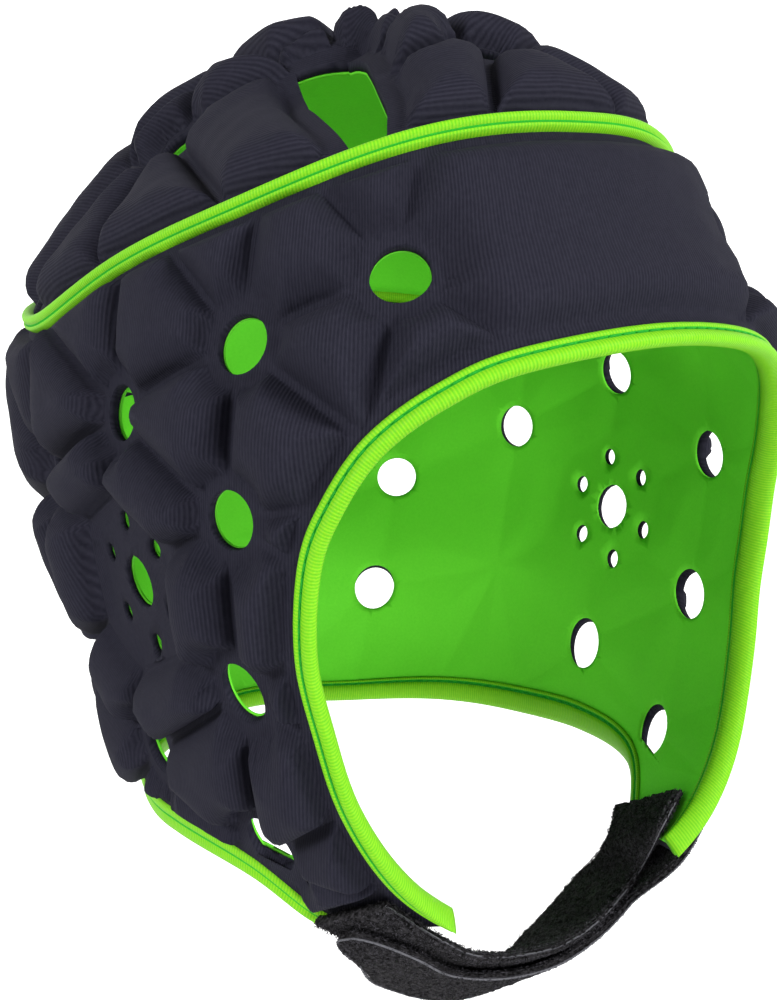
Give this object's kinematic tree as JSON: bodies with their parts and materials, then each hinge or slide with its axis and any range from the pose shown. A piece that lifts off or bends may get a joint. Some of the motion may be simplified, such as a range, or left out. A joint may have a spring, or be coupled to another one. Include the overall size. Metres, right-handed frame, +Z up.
{
  "type": "rugby scrum cap",
  "caption": "Padded close-fitting cap with ear flaps, air vents, taped edges and a chin strap, worn on the head in contact sport.",
  "frame": {"origin": "inner top of the crown, where the cap sits on a head", "axes": "+Z up through the crown, -Y forward through the face opening, +X towards the wearer's left ear"},
  "size_m": [0.1786, 0.2296, 0.2531],
  "materials": {
    "jersey": "ribbed stretch jersey over foam, blue-black",
    "lining": "smooth stretch lining, green",
    "edge_tape": "ribbed elastic tape, lime green",
    "hook_and_loop": "hook-and-loop tape, near black"
  },
  "bodies": {
    "root": {"lower_panel": "jersey", "crown_panel": "jersey", "lower_lining": "lining", "crown_lining": "lining", "crown_piping": "edge_tape", "face_binding": "edge_tape", "nape_binding": "edge_tape", "loop_strap": "hook_and_loop", "hook_strap": "hook_and_loop"}
  },
  "joints": []
}
